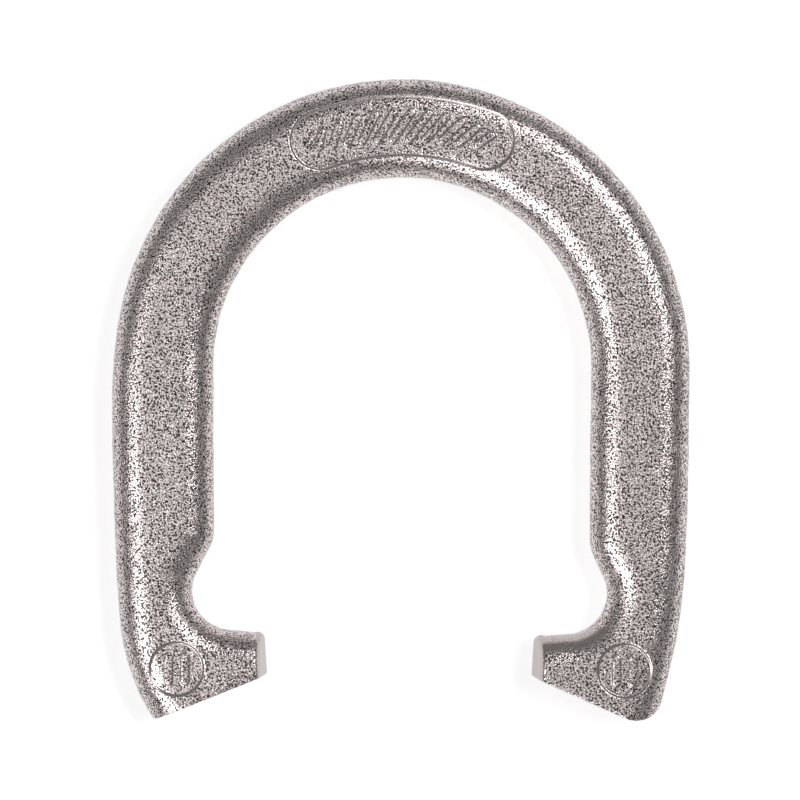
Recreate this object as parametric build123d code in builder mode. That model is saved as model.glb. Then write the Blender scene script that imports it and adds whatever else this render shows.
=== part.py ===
from build123d import *
import os
from collections import namedtuple
from math import cos, radians, sin, tan

# Pitching horseshoe: one drop forging under a thick textured powder coat.
# Millimetres. +Z is up (the marked face), +Y points to the toe, +X to the right.
# The origin is on the ground, on the toe's centre line, halfway along the shoe.
# Sizes are those of the bare steel; the coat adds COAT to every face but the calk feet.

# --- driving dimensions -----------------------------------------------------------------
LENGTH = 193.4          # toe to the lowest heel corner, over the coat; 7 5/8 in is allowed
OUTER_R = 86.65         # outer edge round the toe
INNER_R = 57.25         # inner edge round the toe; the arms' inner walls are its tangents
THICKNESS = 12.0        # body, without the calks
CALK_DROP = 6.0         # calks below the body
COAT = 0.15             # powder coat

# edge of the section: a wide soft shoulder above, a small round below
SHOULDER_WIDTH = 10.0
SHOULDER_DROP = 8.4
LOWER_ROUND = 3.0

# relief: sunk fields that follow the surface at an even depth, with raised bars in them
SINK = 0.6
RAISE = 0.45

# toe panel: a sunk curved slot with a rope moulding in it
PANEL_RADIUS = 72.3
PANEL_HALF_WIDTH = 9.4
PANEL_HALF_ANGLE = 20.0
ROPE_BARS = 11
ROPE_HALF_ANGLE = 20.0
ROPE_BAR_WIDTH = 2.2
ROPE_BAR_LENGTH = 12.0
ROPE_SLANT = 34.0
ROPE_TAPER = 0.4        # how much shorter the end bars are

# heel medallions: a sunk disc with two raised bars, the mark of a pair
MEDALLION_R = 8.6
MARK_BAR = (9.6, 2.3)
MARK_SPACING = 5.0

# calks
TOE_CALK_HALF_ANGLE = 24.0
TOE_CALK_WIDTH = 8.0
HEEL_CALK = (24.0, 8.0)
HEEL_CALK_FROM_TIP = 20.0
HEEL_CALK_FROM_CUT = 7.0
CALK_DRAFT = 8.0
CALK_FOOT_ROUND = 0.8
CALK_ROOT = 4.0         # how far a calk runs up inside the body

HOOK_SLOPE = 5.0        # the hook's upper edge falls this much towards the mouth

# stock that is trimmed away again
HOOK_RUN_ON = 24.0      # the hook's edge past its tip
OUTER_RUN_ON = 16.0     # the outer edge past the heel cut
BLANK_MARGIN = 3.0      # the plate past the shaped edges
CUTTER_REACH = 8.0      # the edge cutter past the shaped edge
CUTTER_CLEAR = 2.0      # cutters above and below the plate
FAR = 200.0             # beyond the whole shoe

Heel = namedtuple(
    "Heel",
    "side swell swell_r taper taper_r bend bend_r lean hollow hollow_r slant shoulder_r "
    "tip end_lean end_turn cut_angle cut_length corner_r corner_rise medallion",
)
# The heels are not quite mirror images. Places are measured from the toe's arc centre.
# The outer edge leaves the toe's arc for three flatter ones: it swells, tapers and bends in.
# The inner wall leans in, then flares by slant into the hollow, a round bay above the hook.
# tip is the hook's lower end at the body's underside; its end face leans back by end_lean
# and turns by end_turn. The heel cut falls away from the tip by cut_angle; after cut_length
# it may turn up a round corner.
LEFT = Heel(
    side=-1, swell=12.0, swell_r=127.0, taper=3.7, taper_r=1030.0, bend=26.0, bend_r=66.0,
    lean=0.2, hollow=(-51.6, -67.75), hollow_r=12.0, slant=27.8, shoulder_r=11.4,
    tip=(-41.1, -92.85), end_lean=12.5, end_turn=3.5, cut_angle=21.7, cut_length=60.0,
    corner_r=0.0, corner_rise=90.0, medallion=(-67.8, -90.9),
)
RIGHT = Heel(
    side=1, swell=4.0, swell_r=88.0, taper=2.1, taper_r=1500.0, bend=15.0, bend_r=190.0,
    lean=0.6, hollow=(49.6, -68.55), hollow_r=12.4, slant=26.2, shoulder_r=17.0,
    tip=(39.3, -93.4), end_lean=15.0, end_turn=3.5, cut_angle=23.8, cut_length=39.0,
    corner_r=8.2, corner_rise=66.0, medallion=(66.8, -91.5),
)

# --- worked out ---------------------------------------------------------------------------
TOE_Y = LENGTH / 2 - OUTER_R          # arc centre, so that the outline is centred on Y = 0
BODY_BOTTOM = CALK_DROP
BODY_TOP = CALK_DROP + THICKNESS
WEB_R = (INNER_R + OUTER_R) / 2       # middle of the web round the toe
RELIEF_FROM = BODY_TOP - THICKNESS / 2    # the relief's prisms start inside the body


def place(point):
    """A point given from the toe's arc centre, in the part's frame."""
    return (point[0], point[1] + TOE_Y)


def outer_half(heel):
    """Outer edge from the top of the toe down one side, running on past the heel."""
    side = heel.side
    toe = JernArc(place((0, OUTER_R)), (side, 0), OUTER_R, -side * (90 - heel.swell))
    swell = JernArc(toe @ 1, toe % 1, heel.swell_r, -side * heel.swell)
    taper = JernArc(swell @ 1, swell % 1, heel.taper_r, -side * heel.taper)
    bend = JernArc(taper @ 1, taper % 1, heel.bend_r, -side * heel.bend)
    Line(bend @ 1, bend @ 1 + (bend % 1) * OUTER_RUN_ON)


def inner_half(heel):
    """Inner edge from the toe down one side, round the hollow and along the hook."""
    side, slant = heel.side, radians(heel.slant)
    touch = Vector(*place(heel.hollow)) + Vector(side * cos(slant), sin(slant)) * heel.hollow_r
    down_flare = Vector(side * sin(slant), -cos(slant))
    toe = JernArc(place((0, INNER_R)), (side, 0), INNER_R, -side * (90 + heel.lean))
    gap, across = touch - toe @ 1, (toe % 1).cross(down_flare).Z
    wall_length = gap.cross(down_flare).Z / across
    flare_length = (toe % 1).cross(gap).Z / across
    turn = heel.slant + heel.lean
    trim = heel.shoulder_r * tan(radians(turn) / 2)
    wall = Line(toe @ 1, toe @ 1 + (toe % 1) * (wall_length - trim))
    shoulder = JernArc(wall @ 1, wall % 1, heel.shoulder_r, side * turn)
    flare = Line(shoulder @ 1, shoulder @ 1 + (shoulder % 1) * (flare_length - trim))
    hollow = JernArc(flare @ 1, flare % 1, heel.hollow_r, -side * (90 - HOOK_SLOPE + heel.slant))
    Line(hollow @ 1, hollow @ 1 + (hollow % 1) * HOOK_RUN_ON)


def edge_profile(edge, inward, grow):
    """Everything outside the section's edge, drawn across the toe.

    edge is where the section ends and inward the direction of the metal, +1 or -1.
    """
    top, bottom = BODY_TOP + grow, BODY_BOTTOM - grow
    start = edge + inward * SHOULDER_WIDTH
    out = edge - inward * CUTTER_REACH
    rim_top, rim_bottom = top - SHOULDER_DROP, bottom + LOWER_ROUND
    shoulder_from = 90 if inward > 0 else 0
    lower_from = 180 if inward > 0 else 270
    foot = edge + inward * LOWER_ROUND
    with BuildSketch(Plane.YZ) as outside:
        with BuildLine():
            EllipticalCenterArc((start, rim_top), SHOULDER_WIDTH, SHOULDER_DROP,
                                start_angle=shoulder_from, arc_size=90)
            Line((edge, rim_top), (edge, rim_bottom))
            CenterArc((foot, rim_bottom), LOWER_ROUND, lower_from, 90)
            Polyline((foot, bottom), (foot, bottom - CUTTER_CLEAR), (out, bottom - CUTTER_CLEAR),
                     (out, top + CUTTER_CLEAR), (start, top + CUTTER_CLEAR), (start, top))
        make_face()
    return outside.sketch


def region(half, growth):
    """What two half edges enclose, closed straight across their ends, grown all round."""
    with BuildSketch() as inside:
        with BuildLine() as outline:
            half(LEFT)
            half(RIGHT)
            ends = outline.vertices().sort_by(Axis.Y)[:2]
            Line(tuple(ends[0]), tuple(ends[1]))
        make_face()
        offset(amount=growth)
    return inside.sketch


def plate(grow):
    """The flat blank that the edges are shaped from, a little larger than the shoe."""
    margin = BLANK_MARGIN + grow
    with BuildSketch() as outline:
        add(region(outer_half, margin))
        add(region(inner_half, -margin), mode=Mode.SUBTRACT)
    return outline.sketch


def heel_cut(heel, grow):
    """Everything beyond the straight cut across one heel and round its corner."""
    fall, rise = radians(heel.cut_angle), radians(heel.corner_rise)
    along = Vector(heel.side * cos(fall), -sin(fall))
    beyond = Vector(-heel.side * sin(fall), -cos(fall))
    up_wall = Vector(heel.side * cos(rise), sin(rise))
    tip = Vector(*place(heel.tip)) + beyond * grow
    start = tip - along * HOOK_RUN_ON
    corner = tip + along * heel.cut_length
    with BuildSketch(Plane.XY.offset(BODY_BOTTOM - grow - CUTTER_CLEAR)) as cut:
        with BuildLine() as edge:
            Polyline(start, corner, corner + up_wall * OUTER_RUN_ON,
                     corner + along * FAR, start + beyond * FAR, start)
            if heel.corner_r:
                bend = edge.vertices().sort_by_distance(corner)[0]
                fillet(bend, heel.corner_r + grow)
        make_face()
    return cut.sketch


def mouth_half(heel, grow):
    """The gap between the hooks, as far as one hook's end: its section across the origin."""
    lean, tip = radians(heel.end_lean), place(heel.tip)
    foot = tip[0] - heel.side * (grow / cos(lean) + tip[1] * tan(radians(heel.end_turn)))
    low, high = BODY_BOTTOM - CUTTER_CLEAR, BODY_TOP + CUTTER_CLEAR
    edge = [(foot + heel.side * (height - BODY_BOTTOM) * tan(lean), height) for height in (low, high)]
    with BuildSketch(Plane.XZ) as section:
        with BuildLine():
            Polyline((0, low), *edge, (0, high), (0, low))
        make_face()
    return section.sketch


def calk_foot(grow, which):
    """Outline of one calk on the ground."""
    with BuildSketch() as foot:
        if which == "toe":
            spine = CenterArc(place((0, 0)), WEB_R, 90 - TOE_CALK_HALF_ANGLE,
                              2 * TOE_CALK_HALF_ANGLE, mode=Mode.PRIVATE)
            SlotArc(spine, TOE_CALK_WIDTH + 2 * grow)
        else:
            fall = radians(which.cut_angle)
            along = Vector(which.side * cos(fall), -sin(fall))
            inward = Vector(which.side * sin(fall), cos(fall))
            centre = (Vector(*place(which.tip)) + along * HEEL_CALK_FROM_TIP
                      + inward * HEEL_CALK_FROM_CUT)
            with Locations(Location(centre, (0, 0, -which.side * which.cut_angle))):
                SlotOverall(HEEL_CALK[0] + 2 * grow, HEEL_CALK[1] + 2 * grow)
    return foot.sketch


def calk(grow, which):
    """One drafted calk, from the ground up into the body."""
    with BuildPart() as block:
        extrude(calk_foot(grow, which), amount=BODY_BOTTOM + CALK_ROOT, taper=-CALK_DRAFT)
        fillet(block.edges().group_by(Axis.Z)[0], CALK_FOOT_ROUND)
    return block.part


def sunk_fields(grow):
    """Outlines of the toe panel and the heel medallions, drawn in by grow."""
    with BuildSketch(Plane.XY.offset(RELIEF_FROM)) as fields:
        spine = CenterArc(place((0, 0)), PANEL_RADIUS, 90 - PANEL_HALF_ANGLE,
                          2 * PANEL_HALF_ANGLE, mode=Mode.PRIVATE)
        SlotArc(spine, 2 * (PANEL_HALF_WIDTH - grow))
        with Locations(place(LEFT.medallion), place(RIGHT.medallion)):
            Circle(MEDALLION_R - grow)
    return fields.sketch


def raised_bars(grow):
    """Outlines of the slanted rope bars and of the two upright bars in each medallion."""
    with BuildSketch(Plane.XY.offset(RELIEF_FROM)) as bars:
        for number in range(ROPE_BARS):
            turn = ROPE_HALF_ANGLE * (2 * number / (ROPE_BARS - 1) - 1)
            length = ROPE_BAR_LENGTH * (1 - ROPE_TAPER * (turn / ROPE_HALF_ANGLE) ** 2)
            centre = place((PANEL_RADIUS * sin(radians(turn)), PANEL_RADIUS * cos(radians(turn))))
            with Locations(Location((*centre, 0), (0, 0, 90 - turn - ROPE_SLANT))):
                SlotOverall(length + 2 * grow, ROPE_BAR_WIDTH + 2 * grow)
        for heel in (LEFT, RIGHT):
            centre = place(heel.medallion)
            for shift in (-MARK_SPACING / 2, MARK_SPACING / 2):
                with Locations((centre[0] + shift, centre[1])):
                    SlotOverall(MARK_BAR[0] + 2 * grow, MARK_BAR[1] + 2 * grow, rotation=90)
    return bars.sketch


def body(grow):
    """The shoe's body, plain, with every surface moved out by grow."""
    with BuildPart() as shaped:
        with BuildSketch(Plane.XY.offset(BODY_BOTTOM - grow)):
            add(plate(grow))
        extrude(amount=THICKNESS + 2 * grow)
        for heel in (LEFT, RIGHT):
            with BuildLine():
                outer_half(heel)
            sweep(edge_profile(TOE_Y + OUTER_R + grow, -1, grow), mode=Mode.SUBTRACT)
            with BuildLine():
                inner_half(heel)
            sweep(edge_profile(TOE_Y + INNER_R - grow, 1, grow), mode=Mode.SUBTRACT)
        for heel in (LEFT, RIGHT):
            turn = radians(heel.end_turn)
            extrude(mouth_half(heel, grow), amount=FAR, mode=Mode.SUBTRACT,
                    dir=(-heel.side * sin(turn), -cos(turn), 0))
            extrude(heel_cut(heel, grow), amount=THICKNESS + 2 * (grow + CUTTER_CLEAR),
                    mode=Mode.SUBTRACT)
    return shaped.part


def shoe(grow):
    """The whole shoe with every surface but the calk feet moved out by grow."""
    with BuildPart() as hollows:
        extrude(sunk_fields(grow), amount=THICKNESS)
        add(body(grow - SINK), mode=Mode.SUBTRACT)
    with BuildPart() as bars:
        extrude(raised_bars(grow), amount=THICKNESS)
        add(body(grow - SINK + RAISE), mode=Mode.INTERSECT)
    with BuildPart() as whole:
        add(body(grow))
        add(hollows.part, mode=Mode.SUBTRACT)
        add(bars.part)
        for which in ("toe", LEFT, RIGHT):
            add(calk(grow, which))
    return whole.part


os.makedirs("parts", exist_ok=True)

with BuildPart() as forged_shoe:
    add(shoe(0))
forged_shoe.part.label = "forged_shoe"
export_step(forged_shoe.part, "parts/forged_shoe.step")

with BuildPart() as powder_coat:
    add(shoe(COAT))
    add(forged_shoe.part, mode=Mode.SUBTRACT)
powder_coat.part.label = "powder_coat"
export_step(powder_coat.part, "parts/powder_coat.step")

for piece in (forged_shoe.part, powder_coat.part):
    print(piece.label, round(piece.volume), "mm3", piece.bounding_box())
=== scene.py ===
import math

import bmesh
import bpy
import numpy as np
from mathutils import Euler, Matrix, Vector, kdtree, noise
from mathutils.geometry import delaunay_2d_cdt


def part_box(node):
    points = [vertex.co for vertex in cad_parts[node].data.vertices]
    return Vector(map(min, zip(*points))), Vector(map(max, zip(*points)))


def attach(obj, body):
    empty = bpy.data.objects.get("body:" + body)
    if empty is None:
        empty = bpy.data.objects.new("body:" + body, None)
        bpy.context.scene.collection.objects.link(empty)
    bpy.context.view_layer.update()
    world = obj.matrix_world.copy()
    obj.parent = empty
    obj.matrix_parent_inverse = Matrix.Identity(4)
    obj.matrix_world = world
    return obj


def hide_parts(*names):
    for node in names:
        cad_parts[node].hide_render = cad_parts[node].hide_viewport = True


# A pitching horseshoe: a forged steel shoe under a thick, textured silver powder coat.
# Shapes are worked out in millimetres, in the part's own frame, and made in metres.
# The shoe is two height fields over one outline, an upper and a lower one, triangulated
# with points where the shape needs them and joined by a rim and by the heels' cut faces.

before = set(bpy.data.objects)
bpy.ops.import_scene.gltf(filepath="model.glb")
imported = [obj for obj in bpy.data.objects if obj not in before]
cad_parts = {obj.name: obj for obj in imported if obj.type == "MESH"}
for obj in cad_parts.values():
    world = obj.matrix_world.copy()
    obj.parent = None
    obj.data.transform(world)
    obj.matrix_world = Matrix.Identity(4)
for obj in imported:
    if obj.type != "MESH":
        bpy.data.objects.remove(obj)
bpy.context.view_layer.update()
MM = 0.001

# ---- sizes ------------------------------------------------------------------------------
steel_high = np.array(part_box("forged_shoe")[1]) / MM
coat_low, coat_high = (np.array(corner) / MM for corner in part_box("powder_coat"))
COAT = float(coat_high[2] - steel_high[2])
OUTER_R = float(steel_high[0])
TOE_Y = float(steel_high[1]) - OUTER_R
TOP = float(steel_high[2])
INNER_R = 57.25
CALK_DROP = 6.0
SHOULDER = (10.0, 8.4)          # width and drop of the soft upper shoulder
LOWER_ROUND = 3.0
END_ROUND = 1.0                 # lower edge of a hook's end face
END_RIM = 0.3
RIDGE_SOFTNESS = 0.55           # where a hook's end face meets its top
EDGE_SOFTNESS = 0.35            # the coat's radius along the heel cuts
HOOK_SLOPE = 5.0
HOOK_CORNER_R = 2.4
TIP_CORNER_R = 0.8
RUN_ON = 24.0                   # edges are traced this far past their cuts

SINK, RAISE = 0.6, 0.45         # sunk fields, and bars raised in them
FIELD_WALL = 0.85               # width of a sunk field's soft wall
BAR_WALL = 0.6
PANEL = {"radius": 72.3, "half_width": 9.4, "half_angle": 20.0}
ROPE = {"bars": 11, "half_angle": 20.0, "width": 2.2, "length": 12.0, "slant": 34.0, "taper": 0.4}
MEDALLION_R = 8.6
MARK = {"length": 9.6, "width": 2.3, "spacing": 5.0}

WEB_R = (INNER_R + OUTER_R) / 2
CALK = {"half_angle": 24.0, "width": 8.0, "length": 24.0, "from_tip": 20.0, "from_cut": 7.0,
        "draft": 8.0, "foot_round": 0.8, "root_round": 1.2}

# Places are measured from the toe's arc centre, for the right half; side mirrors them.
LEFT = {"side": -1, "swell": 12.0, "swell_r": 127.0, "taper": 3.7, "taper_r": 1030.0,
        "bend": 26.0, "bend_r": 66.0, "lean_in": 0.2, "hollow": (51.6, -67.75), "hollow_r": 12.0,
        "slant": 27.8, "shoulder_r": 11.4, "tip": (41.1, -92.85), "end_lean": 12.5,
        "end_turn": 3.5, "cut": 21.7, "cut_length": None, "corner_r": 0.0, "corner_rise": None,
        "medallion": (67.8, -90.9), "smooth_end": 2.7, "smooth_band": 3.0, "smooth": 0.3}
RIGHT = {"side": 1, "swell": 4.0, "swell_r": 88.0, "taper": 2.1, "taper_r": 1500.0,
         "bend": 15.0, "bend_r": 190.0, "lean_in": 0.6, "hollow": (49.6, -68.55), "hollow_r": 12.4,
         "slant": 26.2, "shoulder_r": 17.0, "tip": (39.3, -93.4), "end_lean": 15.0,
         "end_turn": 3.5, "cut": 23.8, "cut_length": 39.0, "corner_r": 8.2, "corner_rise": 66.0,
         "medallion": (66.8, -91.5), "smooth_end": 3.0, "smooth_band": 4.4, "smooth": 0.85}
HEELS = (LEFT, RIGHT)

# The coat flowed smooth on each hook's end face (smooth_end deep), in a band along the inner
# edge round the hollow (smooth_band wide, to the degree in smooth) and on the relief's walls.
END_BLEND = 0.6                 # widths over which the smooth patches fade out
BAND_BLEND = 2.0
HOLLOW_BLEND = 4.0
SMOOTH_FIELD_WALL = {"smooth": 0.95, "reach": 0.39, "blend": 0.3}     # in wall widths
SMOOTH_BAR_WALL = {"smooth": 0.85, "reach": 0.3, "blend": 0.3}

TRACE_STEP = 0.1                # spacing of the samples that distances are measured from
HOOK_SAMPLES = 20               # the last samples, which give a hook's direction
HOOK_RISE = 2.0                 # an end face is looked for up to this above its hollow's foot


# ---- plane geometry ---------------------------------------------------------------------
def unit(degrees):
    """Unit vector at an angle from +X."""
    return np.array([math.cos(math.radians(degrees)), math.sin(math.radians(degrees))])


def trace(start, moves, step):
    """Points along straight runs and arcs, each move a (length, degrees turned), from
    heading +X, with the heading in degrees at each point."""
    points, headings = [np.array(start, float)], [0.0]
    for length, turn in moves:
        count = max(1, math.ceil(length / step))
        part = math.radians(turn) / count
        chord = length / count if turn == 0 else 2 * length / count / part * math.sin(part / 2)
        for _ in range(count):
            middle = headings[-1] + math.degrees(part) / 2
            points.append(points[-1] + chord * unit(middle))
            headings.append(headings[-1] + math.degrees(part))
    return np.array(points), np.array(headings)


def arc_move(radius, turn):
    """An arc as a move for trace."""
    return (radius * math.radians(abs(turn)), turn)


def outer_half(heel, step):
    """Outer edge from the top of the toe down one side, with normals into the metal."""
    moves = [arc_move(OUTER_R, heel["swell"] - 90), arc_move(heel["swell_r"], -heel["swell"]),
             arc_move(heel["taper_r"], -heel["taper"]), arc_move(heel["bend_r"], -heel["bend"]),
             (RUN_ON, 0)]
    points, headings = trace((0, OUTER_R), moves, step)
    normals = np.array([unit(h - 90) for h in headings])
    return mirrored(points, heel), normals * (heel["side"], 1)


def inner_half(heel, step):
    """Inner edge from the toe down one side, round the hollow and along the hook."""
    lean, slant, radius = heel["lean_in"], heel["slant"], heel["hollow_r"]
    wall = INNER_R * unit(-lean)
    touch = np.array(heel["hollow"]) + radius * unit(slant)
    corner = crossing(wall, unit(-90 - lean), touch, unit(slant - 90))
    trim = heel["shoulder_r"] * math.tan(math.radians(slant + lean) / 2)
    moves = [arc_move(INNER_R, -90 - lean), (np.linalg.norm(corner - wall) - trim, 0),
             arc_move(heel["shoulder_r"], slant + lean), (np.linalg.norm(touch - corner) - trim, 0),
             arc_move(radius, HOOK_SLOPE - 90 - slant), (RUN_ON, 0)]
    points, headings = trace((0, INNER_R), moves, step)
    normals = np.array([unit(h + 90) for h in headings])
    return mirrored(points, heel), normals * (heel["side"], 1)


def mirrored(points, heel):
    """Points of the right half, from the toe's arc centre, in the part's frame."""
    return np.asarray(points, float) * (heel["side"], 1) + (0, TOE_Y)


def place(point, heel):
    """A place of one heel in the part's frame."""
    return mirrored([point], heel)[0]


def thinned(points, spacing):
    """The same line with evenly spaced points, both ends kept."""
    lengths = np.concatenate([[0], np.cumsum(np.linalg.norm(np.diff(points, axis=0), axis=1))])
    count = max(1, round(lengths[-1] / spacing))
    at = np.linspace(0, lengths[-1], count + 1)
    return np.column_stack([np.interp(at, lengths, points[:, axis]) for axis in (0, 1)])


def straight(a, b, step=TRACE_STEP):
    """Evenly spaced points from a to b, both kept."""
    return thinned(np.array([a, b], float), step)


def crossing(point, direction, other, other_direction):
    """Where two lines, each a point and a direction, meet."""
    across = np.column_stack([direction, -np.asarray(other_direction)])
    return point + direction * np.linalg.solve(across, other - point)[0]


def round_corner(before, corner, after, radius):
    """An arc that rounds the corner of before-corner-after, from first to last tangent."""
    a, b = (before - corner), (after - corner)
    a, b = a / np.linalg.norm(a), b / np.linalg.norm(b)
    half = math.acos(float(a @ b)) / 2
    centre = corner + (a + b) / np.linalg.norm(a + b) * radius / math.sin(half)
    first = corner + a * radius / math.tan(half) - centre
    last = corner + b * radius / math.tan(half) - centre
    sweep = math.pi - 2 * half
    count = max(4, math.ceil(sweep * radius / TRACE_STEP))
    arc = [centre + (first * math.sin(sweep * (1 - t)) + last * math.sin(sweep * t)) / math.sin(sweep)
           for t in np.linspace(0, 1, count + 1)]
    return np.array(arc)


def search_tree(points):
    """A tree that finds the nearest of some plane points."""
    tree = kdtree.KDTree(len(points))
    for index, (x, y) in enumerate(points):
        tree.insert((x, y, 0), index)
    tree.balance()
    return tree


class Edge:
    """A finely sampled line that tells how deep in the metal a point lies."""

    def __init__(self, points, inside):
        along = np.gradient(points, axis=0)
        along /= np.linalg.norm(along, axis=1)[:, None]
        self.points = points
        self.normals = np.column_stack([-along[:, 1], along[:, 0]]) * inside
        self.tree = search_tree(points)

    def depth(self, places):
        """Distance into the metal; past the line's ends, the distance from its end."""
        found = [self.tree.find((x, y, 0)) for x, y in places]
        index = np.array([hit[1] for hit in found])
        away = ((places - self.points[index]) * self.normals[index]).sum(1)
        at_end = (index == 0) | (index == len(self.points) - 1)
        return np.where(at_end, [hit[2] for hit in found], away)


# Waves of a forging's surface: (wavelength, height, phase or noise layer).
OUTLINE_WAVES = ((41, 0.05, 0.4), (19, 0.04, 2.1), (9.3, 0.03, 4.0), (5.1, 0.02, 1.1))
UPPER_WAVES = ((26, 0.16, 3.0), (11, 0.09, 9.0), (4.5, 0.04, 17.0))
LOWER_WAVES = ((24, 0.20, 31.0), (9, 0.12, 37.0), (4.0, 0.05, 41.0))
UPPER_FADE = 3.0                # the faces' waves fade out this near the outline
LOWER_FADE = 2.0
FLAT_FOOT = 0.5                 # and below this height on the calks, so that the feet stay flat


def forged_wave(points):
    """A forging's outline is never quite true: a slow wave along it, in millimetres."""
    travelled = np.cumsum(np.linalg.norm(np.gradient(points, axis=0), axis=1))
    wave = np.zeros(len(points))
    for length, height, shift in OUTLINE_WAVES:
        wave += height * np.sin(2 * math.pi * travelled / length + shift)
    return wave


def whole_edge(half, inside):
    """Both halves of the outer or inner edge as one line, from the left heel to the right."""
    left, left_normals = half(LEFT, TRACE_STEP)
    right, right_normals = half(RIGHT, TRACE_STEP)
    points = np.vstack([left[::-1], right[1:]])
    normals = np.vstack([left_normals[::-1], right_normals[1:]])
    return Edge(points + normals * forged_wave(points)[:, None], inside)


OUTER = whole_edge(outer_half, -1)
INNER = whole_edge(inner_half, 1)


def heel_frame(heel):
    """Directions along a heel's cut, away from the tip, and out of the metal across it."""
    along = unit(-heel["cut"]) * (heel["side"], 1)
    beyond = np.array([-heel["side"] * math.sin(math.radians(heel["cut"])),
                       -math.cos(math.radians(heel["cut"]))])
    return along, beyond


def end_frame(heel, grow):
    """A point at the foot of a hook's end face, the way up it and the way into the metal."""
    up_end = unit(90 - heel["end_turn"]) * (heel["side"], 1)
    into = np.array([heel["side"] * up_end[1], -heel["side"] * up_end[0]])
    foot = place(heel["tip"], heel) - into * grow / math.cos(math.radians(heel["end_lean"]))
    return foot, up_end, into


def own_half(points, side):
    """The left or right half of a whole edge's points, from the toe to the heel."""
    middle = len(points) // 2
    return points[:middle][::-1] if side < 0 else points[middle:]


def heel_outline(heel, grow):
    """The heel's outline from the outer edge to the hook, as named fine lines, in order.
    Each edge stops a sample or two short of the corner that follows it."""
    side = heel["side"]
    along, beyond = heel_frame(heel)
    edge, hook = (own_half(line.points - line.normals * grow, side) for line in (OUTER, INNER))
    end_point, up_end, _ = end_frame(heel, grow)
    start = place(heel["tip"], heel) + beyond * grow
    tip = crossing(start, along, end_point, up_end)
    hook_way = hook[-1] - hook[-HOOK_SAMPLES]
    top = crossing(hook[-1], hook_way, tip, up_end)
    past = (edge - start) @ beyond > 0
    if heel["corner_r"]:
        corner = start + along * heel["cut_length"]
        wall = unit(heel["corner_rise"]) * (side, 1)
        turn = round_corner(corner + wall, corner, tip, heel["corner_r"] + grow)
        nearest = int(np.argmin(np.linalg.norm(edge - turn[0], axis=1)))
    else:
        nearest = int(np.argmax(past)) - 1
        turn = np.array([crossing(edge[nearest], edge[nearest + 1] - edge[nearest], start, along)] * 2)
    tip_arc = round_corner(turn[-1], tip, top, TIP_CORNER_R)
    top_arc = round_corner(tip, top, top - hook_way, HOOK_CORNER_R)
    on_hook = int(np.argmin(np.linalg.norm(hook - top_arc[-1], axis=1)))
    return {"outer": np.vstack([edge[:nearest - 1], turn[:1]]), "turn": turn,
            "cut": straight(turn[-1], tip_arc[0]), "tip": tip_arc,
            "end": straight(tip_arc[-1], top_arc[0]), "top": top_arc,
            "inner": np.vstack([top_arc[-1:], hook[:on_hook - 2][::-1]])}


def cut_edges(grow):
    """Each heel's cut and round corner, traced past the tip, to measure depths from."""
    edges = []
    for heel in HEELS:
        along, _ = heel_frame(heel)
        lines = heel_outline(heel, grow)
        tip_side = straight(lines["cut"][-1], lines["cut"][-1] - along * RUN_ON)
        outward = lines["turn"][:-1] if heel["corner_r"] else straight(
            lines["turn"][0] + along * RUN_ON, lines["turn"][0])[:-1]
        points = np.vstack([outward, lines["cut"], tip_side[1:]])
        edges.append(Edge(points, -heel["side"]))
    return edges


# ---- relief and calks -------------------------------------------------------------------
def from_arc(places, radius, half_angle):
    """Distance from an arc about the toe's centre, symmetric about the toe."""
    x, y = places[:, 0], places[:, 1] - TOE_Y
    angle = np.clip(np.degrees(np.arctan2(x, y)), -half_angle, half_angle)
    nearest = radius * np.column_stack([np.sin(np.radians(angle)), np.cos(np.radians(angle))])
    return np.hypot(x - nearest[:, 0], y - nearest[:, 1])


def from_segment(places, centre, direction, length):
    """Distance from a straight segment."""
    off = places - centre
    reach = np.clip(off @ direction, -length / 2, length / 2)
    return np.linalg.norm(off - reach[:, None] * direction, axis=1)


def rope_bars():
    """Each bar of the rope moulding: its spine's centre, direction and length, and half its width."""
    bars = []
    for turn in np.linspace(-ROPE["half_angle"], ROPE["half_angle"], ROPE["bars"]):
        length = ROPE["length"] * (1 - ROPE["taper"] * (turn / ROPE["half_angle"]) ** 2)
        centre = PANEL["radius"] * unit(90 - turn) + (0, TOE_Y)
        bars.append((centre, unit(90 - turn - ROPE["slant"]), length - ROPE["width"], ROPE["width"] / 2))
    return bars


def mark_bars():
    """The same for the two upright bars in each medallion."""
    bars = []
    for heel in HEELS:
        for shift in (-MARK["spacing"] / 2, MARK["spacing"] / 2):
            centre = place(heel["medallion"], heel) + (shift, 0)
            bars.append((centre, unit(90), MARK["length"] - MARK["width"], MARK["width"] / 2))
    return bars


BARS = rope_bars() + mark_bars()


def heel_calk(heel):
    """Centre, direction and length of the spine of a heel calk."""
    along, beyond = heel_frame(heel)
    centre = place(heel["tip"], heel) + along * CALK["from_tip"] - beyond * CALK["from_cut"]
    return centre, along, CALK["length"] - CALK["width"]


def calks():
    """Each calk's spine as a function that gives distances from it."""
    found = [lambda places: from_arc(places, WEB_R, CALK["half_angle"])]
    for heel in HEELS:
        found.append(lambda places, spine=heel_calk(heel): from_segment(places, *spine))
    return found


CALKS = calks()


def soft_step(t):
    """From 0 to 1 as t does, level at both ends."""
    t = np.clip(t, 0, 1)
    return t * t * (3 - 2 * t)


def quarter_round(depth, radius):
    """Height of a rounded edge above its end, for a depth from that end."""
    left = np.clip(radius - depth, 0, radius)
    return radius - np.sqrt(radius * radius - left * left)


def shoulder_drop(depth):
    """How far the soft upper shoulder has fallen at a depth from the edge."""
    width, drop = SHOULDER
    return drop * (1 - np.sqrt(1 - np.clip(1 - depth / width, 0, 1) ** 2))


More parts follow.
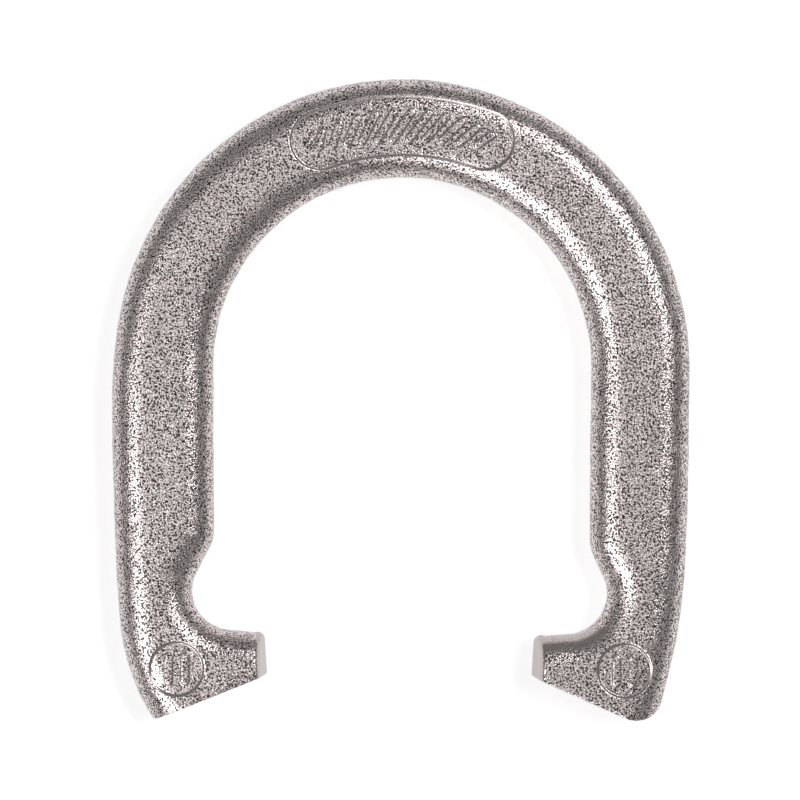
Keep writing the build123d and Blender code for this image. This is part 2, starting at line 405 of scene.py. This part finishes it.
def calk_turns(height):
    """Distances off a calk's outline: its foot's round from and to, its hollow root from and to."""
    lean = math.radians(CALK["draft"])
    foot, root = CALK["foot_round"], CALK["root_round"]
    foot_x = -foot * (1 - math.sin(lean)) / math.cos(lean)
    root_x = (root + (height - root) * math.sin(lean)) / math.cos(lean)
    return foot_x, foot_x + foot * math.cos(lean), root_x - root * math.cos(lean), root_x


def calk_profile(off, height):
    """Height of a calk's surface at a distance off its outline: flat foot, round, drafted
    flank, hollow root, then the shoe's underside."""
    foot, root = CALK["foot_round"], CALK["root_round"]
    foot_x, foot_end, root_start, root_x = calk_turns(height)
    round_z = foot - np.sqrt(np.clip(foot ** 2 - np.clip(off - foot_x, 0, None) ** 2, 0, None))
    flank_z = off / math.tan(math.radians(CALK["draft"]))
    hollow_z = height - root + np.sqrt(np.clip(root ** 2 - np.clip(off - root_x, None, 0) ** 2, 0, None))
    z = np.where(off < foot_x, 0.0, np.where(off < foot_end, round_z, flank_z))
    return np.where(off > root_x, height, np.where(off > root_start, hollow_z, z))


# ---- the surfaces -----------------------------------------------------------------------
def rough(places, waves):
    """Slow unevenness of a forged face: noise summed over (wavelength, height, layer)."""
    z = np.zeros(len(places))
    for length, height, layer in waves:
        z += height * np.array([noise.noise((x / length, y / length, layer)) for x, y in places])
    return z


DENT = {"at": place((64.3, -64.8), RIGHT), "radius": 1.7, "depth": 0.4}


class Shoe:
    """The shoe's two height fields with every face but the calk feet moved out by grow."""

    def __init__(self, grow):
        self.grow = grow
        self.cuts = cut_edges(grow)
        self.outlines = [heel_outline(heel, grow) for heel in HEELS]
        self.foot_height = CALK_DROP - grow

    def depths(self, places):
        """Depth from the outer edge, inner edge, nearest heel cut and nearest end face."""
        outer = OUTER.depth(places) + self.grow
        inner = INNER.depth(places) + self.grow
        cut = np.minimum(self.cuts[0].depth(places), self.cuts[1].depth(places))
        ends = []
        for heel in HEELS:
            foot, _, into = end_frame(heel, self.grow)
            depth = (places - foot) @ into
            low = places[:, 1] < TOE_Y + heel["hollow"][1] - heel["hollow_r"] + HOOK_RISE
            ends.append(np.where((places[:, 0] * heel["side"] > 0) & low, depth, np.inf))
        return outer, inner, cut, ends

    def heights(self, places):
        """Height of the upper and the lower face at each place."""
        grow = self.grow
        outer, inner, cut, ends = self.depths(places)
        upper = TOP + grow - shoulder_drop(outer) - shoulder_drop(inner)
        upper += rough(places, UPPER_WAVES) * soft_step(np.minimum(outer, inner) / UPPER_FADE)
        for heel, depth in zip(HEELS, ends):
            near = np.isfinite(depth)
            slope = (self.foot_height + END_ROUND + END_RIM
                     + np.where(near, depth, 0) / math.tan(math.radians(heel["end_lean"])))
            blend = -RIDGE_SOFTNESS * np.logaddexp(-upper / RIDGE_SOFTNESS, -slope / RIDGE_SOFTNESS)
            upper = np.where(near, blend, upper)
        upper -= SINK * soft_step(self.field_depth(places) / FIELD_WALL)
        upper += RAISE * soft_step(self.bar_depth(places) / BAR_WALL + 0.5)
        dent = np.linalg.norm(places - DENT["at"], axis=1) / DENT["radius"]
        upper -= DENT["depth"] * (1 - soft_step(dent))

        lower = np.maximum(quarter_round(outer, LOWER_ROUND), quarter_round(inner, LOWER_ROUND))
        lower = np.maximum(lower, quarter_round(np.minimum(*ends), END_ROUND))
        calk = np.minimum.reduce([self.calk_height(spine(places)) for spine in CALKS])
        off_foot = soft_step((calk - FLAT_FOOT) / LOWER_FADE)
        off_foot = off_foot * soft_step(np.minimum(outer, inner) / LOWER_FADE)
        lower += calk + rough(places, LOWER_WAVES) * off_foot

        soften = np.minimum(1, (upper - lower) / (3 * EDGE_SOFTNESS))
        soften = soften * quarter_round(np.clip(cut, 0, None), EDGE_SOFTNESS)
        return upper - soften, lower + soften

    def calk_height(self, distance):
        """Height of a calk's surface at a distance from its spine."""
        return calk_profile(distance - CALK["width"] / 2 - self.grow, self.foot_height)

    def smoothness(self, places):
        """How smooth the coat is: on the hooks' end faces, round the hollows, on relief walls."""
        _, inner, _, ends = self.depths(places)
        smooth = np.zeros(len(places))
        for heel, depth in zip(HEELS, ends):
            on_end = 1 - soft_step((depth - heel["smooth_end"]) / END_BLEND + 0.5)
            in_band = 1 - soft_step((inner - heel["smooth_band"]) / BAND_BLEND + 0.5)
            below = TOE_Y + heel["hollow"][1] - places[:, 1]
            in_band *= heel["smooth"] * soft_step(below / HOLLOW_BLEND + 1)
            smooth = np.where(np.isfinite(depth), np.maximum(on_end, in_band), smooth)
        for depth, wall in ((self.field_depth(places) / FIELD_WALL - 0.5, SMOOTH_FIELD_WALL),
                            (self.bar_depth(places) / BAR_WALL, SMOOTH_BAR_WALL)):
            on_wall = 1 - soft_step((np.abs(depth) - wall["reach"]) / wall["blend"])
            smooth = np.maximum(smooth, wall["smooth"] * on_wall)
        return smooth

    def field_depth(self, places):
        """How far inside the nearest sunk field a place is, negative outside."""
        depth = PANEL["half_width"] - from_arc(places, PANEL["radius"], PANEL["half_angle"])
        for heel in HEELS:
            centre = place(heel["medallion"], heel)
            depth = np.maximum(depth, MEDALLION_R - np.linalg.norm(places - centre, axis=1))
        return depth - self.grow

    def bar_depth(self, places):
        """How far inside the nearest raised bar a place is, negative outside."""
        depth = np.full(len(places), -np.inf)
        for centre, direction, length, half in BARS:
            depth = np.maximum(depth, half - from_segment(places, centre, direction, length))
        return depth + self.grow


# ---- points and triangles ---------------------------------------------------------------
FINE = {"edge": 0.8, "rings": 15, "low_rings": 8, "grid": 1.05, "low_grid": 1.4, "field_grid": 0.55,
        "relief": 0.42, "calk": 0.6, "end": 0.6, "cut": 0.6, "rows": 9}
PLAIN = {"edge": 1.8, "rings": 8, "low_rings": 4, "grid": 2.4, "low_grid": 3.0, "field_grid": 1.2,
         "relief": 0.8, "calk": 0.6, "end": 1.2, "cut": 1.2, "rows": 4}

# Lines of points along the relief's walls, as parts of a wall's width inwards from its outline.
BAR_LINES = np.array([-0.7, -0.5, -0.25, 0, 0.25, 0.5])
FIELD_LINES = np.array([-0.2, 0, 0.25, 0.5, 0.75, 1.0, 1.3])
# The same for a calk's foot round and hollow root, from the foot and from the underside.
FOOT_LINES = np.array([0.35, 0.62, 0.82, 0.94])
ROOT_LINES = np.array([0.94, 0.82, 0.6, 0.3])
FLANK_LINES = 5
CALK_CLEAR = 0.5                # and one line on the underside, this far past the root
END_LINES = (0.4, 7.0)          # where lines across a hook's end start and stop, from its face
END_REACH = (-5.0, 17.0)        # and how far they run, from the hook's tip

# Room kept round the points already chosen: in millimetres, and for grids in spacings.
FIELD_ROOM = 0.2
CUT_ROOM = 0.1
RING_ROOM, LOW_RING_ROOM = 0.3, 0.25
LOW_END_ROOM = 0.15
GRID_ROOM, FIELD_GRID_ROOM = 0.75, 0.6


def ring_depths(width, count):
    """Depths of even steps round a quarter ellipse, from its end inwards."""
    return width * (1 - np.cos(np.linspace(0, math.pi / 2, count + 1)[1:]))


def edge_rings(shoe, edge, depths, spacing, slack=0.05):
    """Points along an edge at several depths, where no other edge is nearer."""
    pick = slice(None, None, max(1, round(spacing / TRACE_STEP)))
    points = edge.points[pick] - edge.normals[pick] * shoe.grow
    rings = [points + edge.normals[pick] * depth for depth in depths]
    wanted = np.repeat(depths, len(points))
    rings = np.vstack(rings)
    rings = rings[np.abs(edge.depth(rings) + shoe.grow - wanted) < slack]
    return rings[inside(shoe, rings)]


def slot_ring(centre, direction, length, radius, spacing, count_for=None):
    """Points all round a straight slot's outline, as many as a radius of count_for needs."""
    across = np.array([-direction[1], direction[0]])
    turn = np.linspace(-90, 90, max(4, round(math.pi * (count_for or radius) / spacing)) + 1)
    cap = np.array([unit(t) for t in turn]) * radius
    cap[:, 0] += length / 2
    sides = np.linspace(length / 2, -length / 2, max(2, round(length / spacing)) + 1)[1:-1]
    upper = np.column_stack([sides, np.full(len(sides), radius)])
    half = np.vstack([cap, upper])
    flat = np.vstack([half, -half])
    return centre + flat[:, :1] * direction + flat[:, 1:] * across


def arc_ring(radius, half_angle, reach, spacing, count_for=None):
    """The same for a slot bent along an arc about the toe's centre."""
    line = []
    caps = max(4, round(math.pi * (count_for or reach) / spacing))
    for turn, start in ((1, half_angle), (-1, -half_angle)):
        around = radius + turn * reach
        count = max(3, round(math.radians(2 * half_angle) * radius / spacing))
        for angle in np.linspace(-start, start, count + 1)[:-1]:
            line.append(around * unit(90 - angle))
        middle = radius * unit(90 - start)
        for angle in np.linspace(0, 180, caps + 1)[:-1]:
            line.append(middle + reach * turn * unit(90 - start - angle))
    return np.array(line) + (0, TOE_Y)


def hex_grid(shoe, spacing):
    """Points spread evenly inside the shoe's outline."""
    xs = np.arange(coat_low[0], coat_high[0], spacing)
    ys = np.arange(coat_low[1], coat_high[1], spacing * math.sqrt(3) / 2)
    x, y = np.meshgrid(xs, ys)
    x[1::2] += spacing / 2
    grid = np.column_stack([x.ravel(), y.ravel()])
    return grid[inside(shoe, grid)]


def gathered(families):
    """Families of points, (points, room), each dropping what crowds those before it."""
    kept = np.empty((0, 2))
    for points, room in families:
        if len(kept) and len(points):
            tree = search_tree(kept)
            clear = np.array([tree.find((x, y, 0))[2] > room for x, y in points])
            points = points[clear]
        kept = np.vstack([kept, points])
    return kept


def inside(shoe, places, edge=0.03, cut=0.5, end=0.25):
    """Which places lie in the outline, clear of its lines by these margins."""
    outer, inner, to_cut, ends = shoe.depths(places)
    return (outer > edge) & (inner > edge) & (to_cut > cut) & (np.minimum(*ends) > end)


def cut_rings(shoe, detail):
    """Points just inside the heel cuts, where the coat rounds over."""
    rings = []
    for edge in shoe.cuts:
        pick = slice(None, None, round(detail["cut"] / TRACE_STEP))
        for depth in ring_depths(EDGE_SOFTNESS, 3):
            rings.append(edge.points[pick] + edge.normals[pick] * depth)
    rings = np.vstack(rings)
    return rings[inside(shoe, rings, edge=0.05, cut=0.0)]


def end_lines(shoe, detail, depths):
    """Points in lines across the hooks' ends, parallel to their end faces."""
    lines = []
    for heel in HEELS:
        foot, up_end, into = end_frame(heel, shoe.grow)
        along = np.arange(*END_REACH, detail["end"])[:, None] * up_end
        lines += [foot + into * depth + along for depth in depths]
    lines = np.vstack(lines)
    return lines[inside(shoe, lines, edge=0.25)]


def upper_points(shoe, detail):
    """Places of the upper face's vertices."""
    grow, relief = shoe.grow, detail["relief"]
    bars = []
    for centre, direction, length, half in BARS:
        for inset in BAR_LINES * BAR_WALL:
            bars.append(slot_ring(centre, direction, length, half + grow - inset, relief))
        along = np.linspace(-length / 2, length / 2, max(2, round(length / relief)) + 1)
        bars.append(centre + along[:, None] * direction)
    fields = []
    for inset in FIELD_LINES * FIELD_WALL:
        fields.append(arc_ring(PANEL["radius"], PANEL["half_angle"],
                               PANEL["half_width"] - grow - inset, relief))
        for heel in HEELS:
            fields.append(slot_ring(place(heel["medallion"], heel), unit(0), 0,
                                    MEDALLION_R - grow - inset, relief))
    bars, fields = np.vstack(bars), np.vstack(fields)
    field_grid = hex_grid(shoe, detail["field_grid"])
    field_grid = field_grid[shoe.field_depth(field_grid) > 0]
    depths = ring_depths(SHOULDER[0], detail["rings"])
    ends = end_lines(shoe, detail, np.arange(*END_LINES, detail["end"]))
    families = [(bars[inside(shoe, bars)], 0), (fields[inside(shoe, fields)], FIELD_ROOM),
                (cut_rings(shoe, detail), CUT_ROOM), (ends, RING_ROOM)]
    for edge in (OUTER, INNER):
        families.append((edge_rings(shoe, edge, depths, detail["edge"]), RING_ROOM))
    families += [(field_grid, FIELD_GRID_ROOM * detail["field_grid"]),
                 (hex_grid(shoe, detail["grid"]), GRID_ROOM * detail["grid"])]
    return gathered(families)


def calk_outlines(shoe, off, spacing):
    """The outline of each calk at a distance off its foot's sharp outline, in order."""
    half = CALK["width"] / 2
    reach = half + shoe.grow + off
    loops = [arc_ring(WEB_R, CALK["half_angle"], reach, spacing, half)]
    for heel in HEELS:
        loops.append(slot_ring(*heel_calk(heel), reach, spacing, half))
    return loops


def calk_steps(height):
    """Distances off a calk's outline where its profile needs points, past the flat foot."""
    foot_x, foot_end, root_start, root_x = calk_turns(height)
    round_steps = foot_x + (foot_end - foot_x) * FOOT_LINES
    hollow_steps = root_x - (root_x - root_start) * ROOT_LINES
    flank = np.linspace(foot_end, root_start, FLANK_LINES)
    return np.concatenate([round_steps, flank, hollow_steps, [root_x, root_x + CALK_CLEAR]])


def lower_points(shoe, detail):
    """Places of the lower face's vertices, the feet's outlines aside."""
    calk = np.vstack([loop for off in calk_steps(shoe.foot_height)
                      for loop in calk_outlines(shoe, off, detail["calk"])])
    depths = ring_depths(LOWER_ROUND, detail["low_rings"])
    ends = end_lines(shoe, detail, ring_depths(END_ROUND, 4))
    families = [(calk[inside(shoe, calk)], 0), (cut_rings(shoe, detail), CUT_ROOM), (ends, LOW_END_ROOM)]
    for edge in (OUTER, INNER):
        families.append((edge_rings(shoe, edge, depths, detail["edge"]), LOW_RING_ROOM))
    families.append((hex_grid(shoe, detail["low_grid"]), GRID_ROOM * detail["low_grid"]))
    return gathered(families)


def triangulated(loop, points, islands):
    """Triangles over all that lies inside the loop, as indices into loop, points, islands."""
    parts = [loop, points] + islands
    places = np.vstack(parts)
    edges = []
    start = len(loop) + len(points)
    for island in islands:
        count = len(island)
        edges += [(start + i, start + (i + 1) % count) for i in range(count)]
        start += count
    made = delaunay_2d_cdt([Vector(p) for p in places], edges, [list(range(len(loop)))], 1, 1e-6)
    origin = [found[0] for found in made[3]]
    triangles = np.array([[origin[v] for v in face] for face in made[2]])
    return places, triangles


def outline_loop(shoe, detail):
    """The shoe's outline as one loop, and which of its points border a heel's cut face."""
    loop, on_cut = [], []
    spacing = {"outer": detail["edge"], "turn": detail["cut"], "cut": detail["cut"], "tip": 0.3,
               "end": detail["end"], "top": 0.4, "inner": detail["edge"]}
    for outline, backwards in ((shoe.outlines[1], False), (shoe.outlines[0], True)):
        side_points, side_cut = [], []
        for name, step in spacing.items():
            line = outline[name]
            if np.linalg.norm(line[0] - line[-1]) < 1e-6:
                continue
            line = thinned(line, step)[1:]
            side_points.append(line)
            cut_face = name in ("turn", "cut", "tip")
            side_cut += [cut_face] * len(line)
            if cut_face and len(side_cut) > len(line):
                side_cut[-len(line) - 1] = True
        side_points = np.vstack(side_points)
        side_cut = np.array(side_cut)
        if backwards:
            side_points, side_cut = side_points[::-1], side_cut[::-1]
        loop.append(side_points)
        on_cut.append(side_cut)
    return np.vstack(loop), np.concatenate(on_cut)


def shoe_surface(grow, detail, open_feet):
    """Vertices, faces and foot loops of the shoe's surface, moved out by grow."""
    shoe = Shoe(grow)
    loop, on_cut = outline_loop(shoe, detail)
    upper, upper_faces = triangulated(loop, upper_points(shoe, detail), [])
    foot_x = calk_turns(shoe.foot_height)[0]
    islands = calk_outlines(shoe, foot_x, detail["calk"])
    lower, lower_faces = triangulated(loop, lower_points(shoe, detail), islands)
    if open_feet:
        middles = lower[lower_faces].mean(axis=1)
        off = np.minimum.reduce([spine(middles) for spine in CALKS]) - CALK["width"] / 2 - grow
        lower_faces = lower_faces[off > foot_x]

    upper_z, _ = shoe.heights(upper)
    _, lower_z = shoe.heights(lower)
    vertices = [np.column_stack([upper, upper_z]), np.column_stack([lower, lower_z])]
    first_lower = len(upper)
    faces = [list(face) for face in upper_faces] + [list(face + first_lower) for face in lower_faces]

    columns, count = [], len(upper) + len(lower)
    rows = np.linspace(0, 1, detail["rows"] + 2)[1:-1]
    for index, cut in enumerate(on_cut):
        column = [index]
        if cut:
            high, low = upper_z[index], lower_z[index]
            side = np.tile(loop[index], (len(rows), 1))
            vertices.append(np.column_stack([side, high + (low - high) * rows]))
            column += range(count, count + len(rows))
            count += len(rows)
        columns.append(column + [first_lower + index])
    for index, column in enumerate(columns):
        other = columns[(index + 1) % len(columns)]
        if len(column) == len(other):
            faces += [[a, b, d, c] for a, b, c, d in zip(column, column[1:], other, other[1:])]
        else:
            faces.append(column + other[::-1])
    foot_start = first_lower + len(lower) - sum(len(island) for island in islands)
    feet = []
    for island in islands:
        feet.append(list(range(foot_start, foot_start + len(island))))
        foot_start += len(island)
    return np.vstack(vertices), faces, feet


def made_object(name, vertices, faces):
    """A smooth-shaded object, from vertices in millimetres, with its faces turned outwards."""
    mesh = bpy.data.meshes.new(name)
    mesh.from_pydata((np.asarray(vertices) * MM).tolist(), [], faces)
    mesh.validate()
    form = bmesh.new()
    form.from_mesh(mesh)
    bmesh.ops.remove_doubles(form, verts=form.verts, dist=1e-8)
    bmesh.ops.recalc_face_normals(form, faces=form.faces)
    form.to_mesh(mesh)
    form.free()
    mesh.shade_smooth()
    piece = bpy.data.objects.new(name, mesh)
    bpy.context.scene.collection.objects.link(piece)
    return piece


def mark_smoothness(piece, shoe):
    """Stores on each vertex how far the coat flowed smooth there."""
    places = np.empty(3 * len(piece.data.vertices))
    piece.data.vertices.foreach_get("co", places)
    layer = piece.data.attributes.new("smoothness", "FLOAT", "POINT")
    layer.data.foreach_set("value", shoe.smoothness(places.reshape(-1, 3)[:, :2] / MM))


def ringed(vertices, faces, feet, inner_vertices, inner_faces, inner_feet):
    """One closed skin from an outer surface and an inner one, joined round their feet."""
    first = len(vertices)
    faces = faces + [[v + first for v in face[::-1]] for face in inner_faces]
    for outer_loop, inner_loop in zip(feet, inner_feet):
        pairs = list(zip(outer_loop, [v + first for v in inner_loop]))
        faces += [[a, b, d, c] for (a, b), (c, d) in zip(pairs, pairs[1:] + pairs[:1])]
    return np.vstack([vertices, inner_vertices]), faces


# ---- the pieces -------------------------------------------------------------------------
outer_skin = shoe_surface(COAT, FINE, open_feet=True)
inner_skin = shoe_surface(0.0, PLAIN, open_feet=True)
coat = made_object("hammertone_coat", *ringed(*outer_skin, *inner_skin))
mark_smoothness(coat, Shoe(COAT))
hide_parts("powder_coat")
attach(coat, "root")

core = made_object("steel_core", *shoe_surface(0.0, PLAIN, open_feet=False)[:2])
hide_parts("forged_shoe")
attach(core, "root")


# ---- materials --------------------------------------------------------------------------
class Surface:
    """A material's nodes, with sizes given in millimetres of the object's own space."""

    def __init__(self, name, piece, metallic):
        self.material = bpy.data.materials.new(name)
        self.material.use_nodes = True
        self.tree = self.material.node_tree
        self.shader = self.tree.nodes["Principled BSDF"]
        self.shader.inputs["Metallic"].default_value = metallic
        coordinates = self.tree.nodes.new("ShaderNodeTexCoord")
        self.place = self.vector("MULTIPLY", coordinates.outputs["Object"], (1 / MM,) * 3)
        piece.data.materials.clear()
        piece.data.materials.append(self.material)

    def feed(self, socket, value):
        """Links another node's output to a socket, or sets the socket's own value."""
        if isinstance(value, bpy.types.NodeSocket):
            self.tree.links.new(value, socket)
        else:
            socket.default_value = value

    def plug(self, node, **inputs):
        """Feeds a node's inputs, named with underscores for spaces."""
        for name, value in inputs.items():
            self.feed(node.inputs[name.replace("_", " ")], value)
        return node

    def vector(self, operation, a, b):
        node = self.tree.nodes.new("ShaderNodeVectorMath")
        node.operation = operation
        for socket, value in zip(node.inputs, (a, b)):
            self.feed(socket, value)
        return node.outputs[0]

    def number(self, operation, a, b):
        node = self.tree.nodes.new("ShaderNodeMath")
        node.operation = operation
        for socket, value in zip(node.inputs, (a, b)):
            self.feed(socket, value)
        return node.outputs[0]

    def noise(self, size, detail=2.0, distortion=0.0, place=None):
        """Noise from 0 to 1, with features of a size."""
        node = self.tree.nodes.new("ShaderNodeTexNoise")
        self.plug(node, Vector=place or self.place, Scale=1 / size, Detail=detail, Distortion=distortion)
        return node.outputs["Fac"]

    def even_noise(self, size, reach):
        """Noise with no slow part: how far a place stands out from two places beside it."""
        beside = [self.noise(size, place=self.vector("ADD", self.place, offset))
                  for offset in ((reach, reach, reach / 2), (-reach, reach, -reach / 2))]
        mean = self.number("MULTIPLY", self.number("ADD", *beside), 0.5)
        return self.number("SUBTRACT", self.noise(size), mean)

    def cells(self, size):
        """Distance from the middle of the nearest cell, in cell sizes."""
        node = self.tree.nodes.new("ShaderNodeTexVoronoi")
        self.plug(node, Vector=self.place, Scale=1 / size)
        return node.outputs["Distance"]

    def step(self, value, low, high, out_low=0.0, out_high=1.0):
        """A smooth step of value from low to high, between two outputs."""
        node = self.tree.nodes.new("ShaderNodeMapRange")
        node.interpolation_type = "SMOOTHSTEP"
        self.plug(node, Value=value, From_Min=low, From_Max=high, To_Min=out_low, To_Max=out_high)
        return node.outputs["Result"]

    def mix(self, factor, a, b):
        """Colour a, or b as the factor goes from 0 to 1."""
        node = self.tree.nodes.new("ShaderNodeMix")
        node.data_type = "RGBA"
        for socket, value in zip((node.inputs[0], node.inputs[6], node.inputs[7]), (factor, a, b)):
            self.feed(socket, value)
        return node.outputs[2]

    def attribute(self, name):
        node = self.tree.nodes.new("ShaderNodeAttribute")
        node.attribute_name = name
        return node.outputs["Fac"]

    def finish(self, colour, roughness, height, depth):
        """Links the shader's colour and roughness, and bump of a depth in millimetres."""
        bump = self.tree.nodes.new("ShaderNodeBump")
        self.plug(bump, Height=height, Distance=depth * MM)
        self.plug(self.shader, Base_Color=colour, Roughness=roughness, Normal=bump.outputs["Normal"])


# Sizes in millimetres, colours as linear RGBA, steps and roughness as (least, most).
COAT_LOOK = {"crinkle": 0.48, "cloud": 7.0, "clouds_from": (0.3, 0.7),
             "flake": 0.51, "flake_reach": 0.27, "flakes_from": (-0.23, 0.14),
             "pit": 0.84, "pit_edge": (0.32, 0.43), "pit_strength": 0.97,
             "pale": (0.81, 0.73, 0.725, 1), "palest": (0.87, 0.785, 0.78, 1),
             "ground": (0.19, 0.158, 0.157, 1), "in_pits": (0.012, 0.009, 0.009, 1),
             "smooth": (0.47, 0.42, 0.415, 1), "roughness": (0.19, 0.23),
             "pit_depth": 0.4, "flattened": 0.8, "bump": 0.13}
STEEL_LOOK = {"scale": 3.0, "scale_edge": (0.4, 0.65), "scuff": 0.5, "scuff_edge": (0.3, 0.7),
              "dark": (0.20, 0.19, 0.185, 1), "bright": (0.46, 0.45, 0.44, 1),
              "roughness": (0.28, 0.55), "scuff_depth": 0.4, "bump": 0.10}


def hammertone(piece):
    """Silver powder coat: pale metal flakes over a dark ground, finely pitted and crinkled,
    flatter and evenly grey where the coat flowed smooth."""
    look = COAT_LOOK
    skin = Surface("silver_hammertone", piece, metallic=0.92)
    crinkle = skin.noise(look["crinkle"], 2.0)
    cloud = skin.noise(look["cloud"], 3.0)
    smooth = skin.attribute("smoothness")
    flake = skin.step(skin.even_noise(look["flake"], look["flake_reach"]), *look["flakes_from"])
    pits = skin.step(skin.cells(look["pit"]), *look["pit_edge"], 1.0, 0.0)
    pale = skin.mix(skin.step(cloud, *look["clouds_from"]), look["pale"], look["palest"])
    grain = skin.mix(flake, look["ground"], pale)
    grain = skin.mix(skin.number("MULTIPLY", pits, look["pit_strength"]), grain, look["in_pits"])
    colour = skin.mix(smooth, grain, look["smooth"])
    roughness = skin.step(cloud, *look["clouds_from"], *look["roughness"])
    height = skin.number("SUBTRACT", crinkle, skin.number("MULTIPLY", pits, look["pit_depth"]))
    texture = skin.number("SUBTRACT", 1.0, skin.number("MULTIPLY", smooth, look["flattened"]))
    skin.finish(colour, roughness, skin.number("MULTIPLY", height, texture), look["bump"])


def forged_steel(piece):
    """Bare forged steel, grey with scale and scuffed by use."""
    look = STEEL_LOOK
    steel = Surface("scuffed_steel", piece, metallic=1.0)
    scale = steel.noise(look["scale"], 4.0, 0.4)
    scuff = steel.noise(look["scuff"], 5.0, 1.5)
    colour = steel.mix(steel.step(scale, *look["scale_edge"]), look["dark"], look["bright"])
    roughness = steel.step(scuff, *look["scuff_edge"], *look["roughness"])
    height = steel.number("ADD", scale, steel.number("MULTIPLY", scuff, look["scuff_depth"]))
    steel.finish(colour, roughness, height, look["bump"])


hammertone(coat)
forged_steel(core)


# ---- stage, lights and camera -----------------------------------------------------------
# Lengths here are in metres.
FLOOR_SIZE = 12.0
FLOOR_WHITE = 0.8
FLOOR_GLOW = 0.74
ROOM_GREY = 0.225
VIEW_WIDTH = 0.2419             # what the picture takes in at the object's mid height
VIEW_CENTRE = (-0.0007, -0.0001)
CAMERA_HEIGHT = 1.3
SENSOR = 0.036

# Softboxes by what they light, with direction and angular size in degrees, and radiance.
SOFTBOXES = {
    "shoe": {
        "southwest_box": {"azimuth": 228, "zenith": 41, "size": (50, 24), "radiance": 4.8},
        "west_box": {"azimuth": 190, "zenith": 29, "size": (34, 20), "radiance": 1.7},
        "northeast_strip": {"azimuth": 40, "zenith": 35, "size": (36, 12), "radiance": 8.6},
        "top_box": {"azimuth": 90, "zenith": 3, "size": (26, 26), "radiance": 0.72}},
    "floor": {
        "east_box": {"azimuth": 14, "zenith": 28, "size": (22, 10), "radiance": 7.6}}}
LIGHT_DISTANCE = 2.2


def floor():
    """A pale sheet, lifted by a little glow to a studio's even white."""
    mesh = bpy.data.meshes.new("floor")
    half = FLOOR_SIZE / 2
    corners = [(-half, -half, 0), (half, -half, 0), (half, half, 0), (-half, half, 0)]
    mesh.from_pydata(corners, [], [(0, 1, 2, 3)])
    sheet = bpy.data.objects.new("floor", mesh)
    bpy.context.scene.collection.objects.link(sheet)
    paper = bpy.data.materials.new("pale_floor")
    paper.use_nodes = True
    shader = paper.node_tree.nodes["Principled BSDF"]
    shader.inputs["Base Color"].default_value = (FLOOR_WHITE,) * 3 + (1,)
    shader.inputs["Roughness"].default_value = 1.0
    shader.inputs["Specular IOR Level"].default_value = 0.0
    shader.inputs["Emission Color"].default_value = (1, 1, 1, 1)
    shader.inputs["Emission Strength"].default_value = FLOOR_GLOW
    mesh.materials.append(paper)
    return sheet


def softbox(name, azimuth, zenith, size, radiance):
    """A rectangular area lamp that faces the middle of the shoe."""
    lamp = bpy.data.lights.new(name, "AREA")
    lamp.shape = "RECTANGLE"
    lamp.size, lamp.size_y = (2 * LIGHT_DISTANCE * math.tan(math.radians(angle / 2)) for angle in size)
    lamp.energy = radiance * math.pi * lamp.size * lamp.size_y
    box = bpy.data.objects.new(name, lamp)
    turn = Euler((math.radians(zenith), 0, math.radians(azimuth + 90)))
    way = Vector((0, 0, 1))
    way.rotate(turn)
    box.location = way * LIGHT_DISTANCE
    box.rotation_euler = turn
    bpy.context.scene.collection.objects.link(box)
    return box


def studio():
    """The floor, the softboxes and the grey room that the coat reflects."""
    lit = {"shoe": (coat, core), "floor": (floor(),)}
    for target, pieces in lit.items():
        receivers = bpy.data.collections.new(target)
        for piece in pieces:
            receivers.objects.link(piece)
        for name, settings in SOFTBOXES[target].items():
            softbox(name, **settings).light_linking.receiver_collection = receivers
    world = bpy.data.worlds.new("room")
    world.use_nodes = True
    world.node_tree.nodes["Background"].inputs["Color"].default_value = (ROOM_GREY,) * 3 + (1,)
    bpy.context.scene.world = world
    bpy.context.scene.view_settings.view_transform = "Standard"


def camera():
    """Straight above the shoe, square on to its upper face."""
    lens = bpy.data.cameras.new("camera")
    middle = TOP * MM / 2
    lens.sensor_width = SENSOR / MM
    lens.lens = lens.sensor_width * (CAMERA_HEIGHT - middle) / VIEW_WIDTH
    eye = bpy.data.objects.new("camera", lens)
    eye.location = (*VIEW_CENTRE, CAMERA_HEIGHT)
    bpy.context.scene.collection.objects.link(eye)
    bpy.context.scene.camera = eye


studio()
camera()
